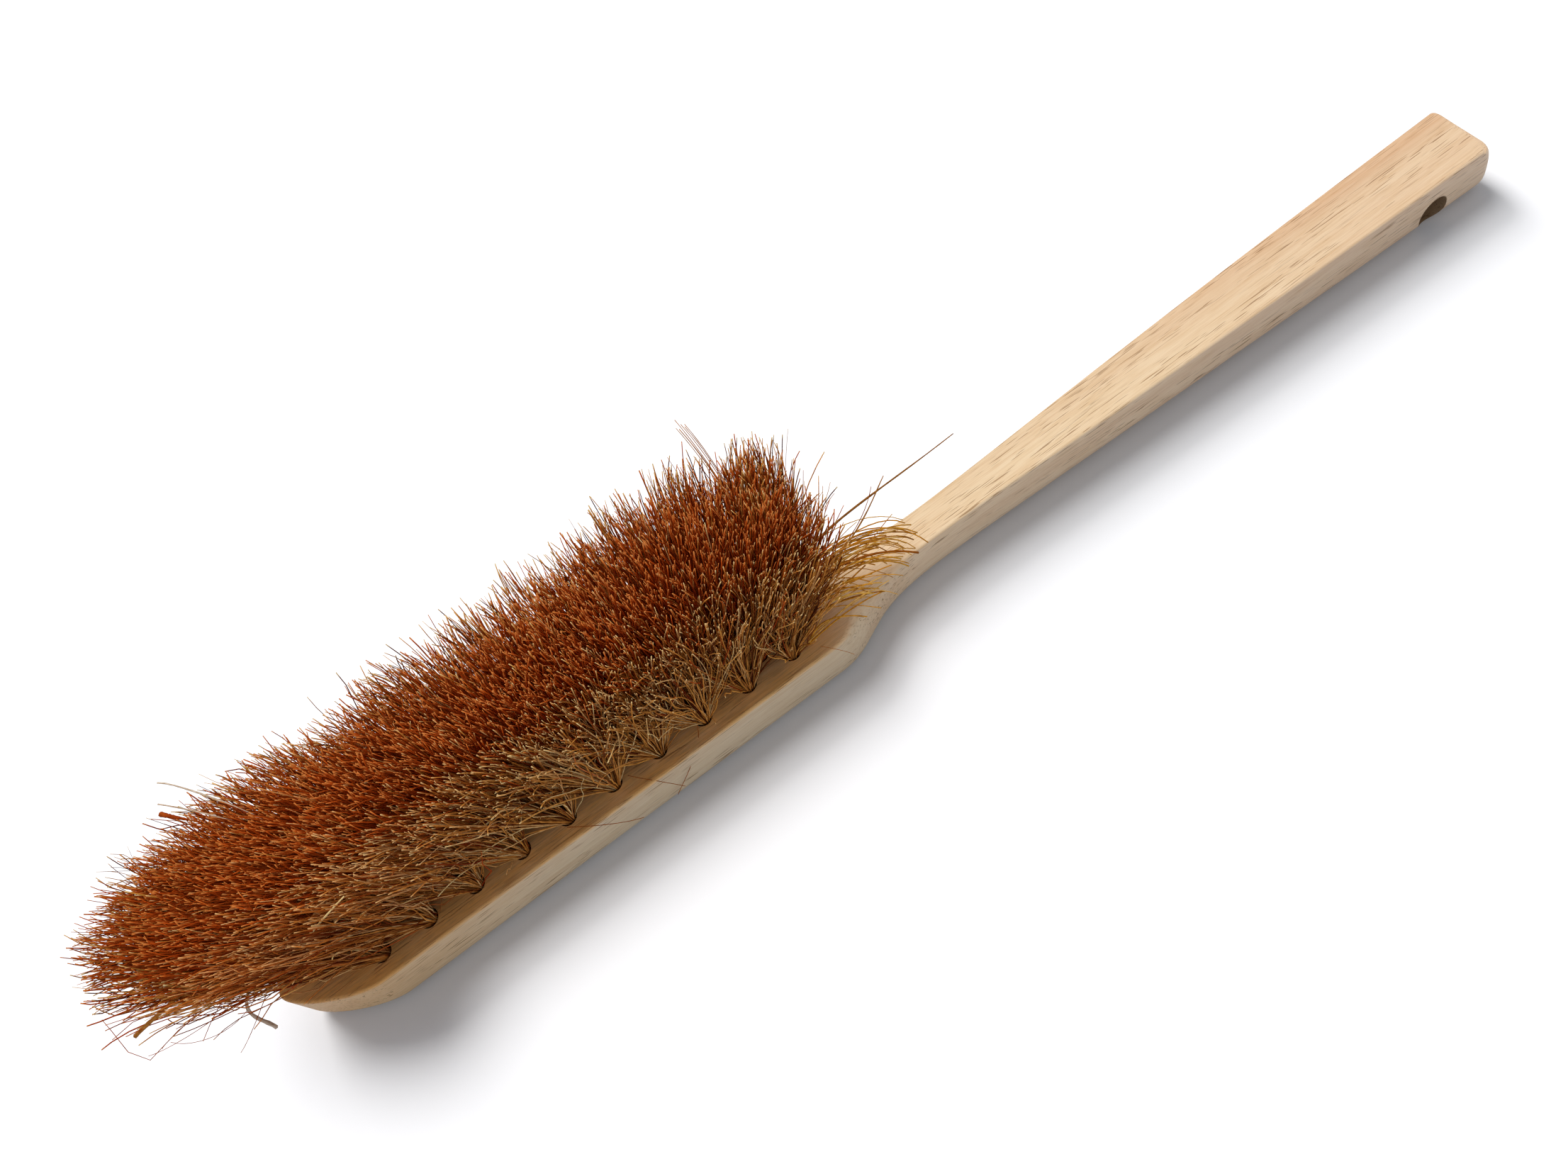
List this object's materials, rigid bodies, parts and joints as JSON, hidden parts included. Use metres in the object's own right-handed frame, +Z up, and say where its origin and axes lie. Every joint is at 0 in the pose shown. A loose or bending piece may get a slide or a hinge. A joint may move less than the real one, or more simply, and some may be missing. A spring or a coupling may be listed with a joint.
{
  "type": "hand brush",
  "caption": "Long-handled hand brush: a one-piece wooden stock with an arched nose and a side-drilled handle, set with staggered rows of stiff coir tufts that fan outwards.",
  "frame": {"origin": "on the stock's flat back, under the middle of the tufted block", "axes": "+X from the nose to the handle's end, +Z up out of the bristle face, +Y across the stock"},
  "size_m": [0.5073, 0.0679, 0.0831],
  "materials": {
    "wood": "bare, finely sanded",
    "coir": "matt natural fibre",
    "outer_coir": "matt natural fibre"
  },
  "bodies": {
    "root": {"stock": "wood", "tuft_1_01": "outer_coir", "tuft_1_02": "outer_coir", "tuft_1_03": "outer_coir", "tuft_1_04": "outer_coir", "tuft_1_05": "outer_coir", "tuft_1_06": "outer_coir", "tuft_1_07": "outer_coir", "tuft_1_08": "outer_coir", "tuft_1_09": "outer_coir", "tuft_1_10": "outer_coir", "tuft_2_01": "coir", "tuft_2_02": "coir", "tuft_2_03": "coir", "tuft_2_04": "coir", "tuft_2_05": "coir", "tuft_2_06": "coir", "tuft_2_07": "coir", "tuft_2_08": "coir", "tuft_2_09": "coir", "tuft_2_10": "coir", "tuft_2_11": "coir", "tuft_3_01": "coir", "tuft_3_02": "coir", "tuft_3_03": "coir", "tuft_3_04": "coir", "tuft_3_05": "coir", "tuft_3_06": "coir", "tuft_3_07": "coir", "tuft_3_08": "coir", "tuft_3_09": "coir", "tuft_3_10": "coir", "tuft_3_11": "coir", "tuft_4_01": "outer_coir", "tuft_4_02": "outer_coir", "tuft_4_03": "outer_coir", "tuft_4_04": "outer_coir", "tuft_4_05": "outer_coir", "tuft_4_06": "outer_coir", "tuft_4_07": "outer_coir", "tuft_4_08": "outer_coir", "tuft_4_09": "outer_coir", "tuft_4_10": "outer_coir", "tuft_4_11": "outer_coir"}
  },
  "joints": []
}
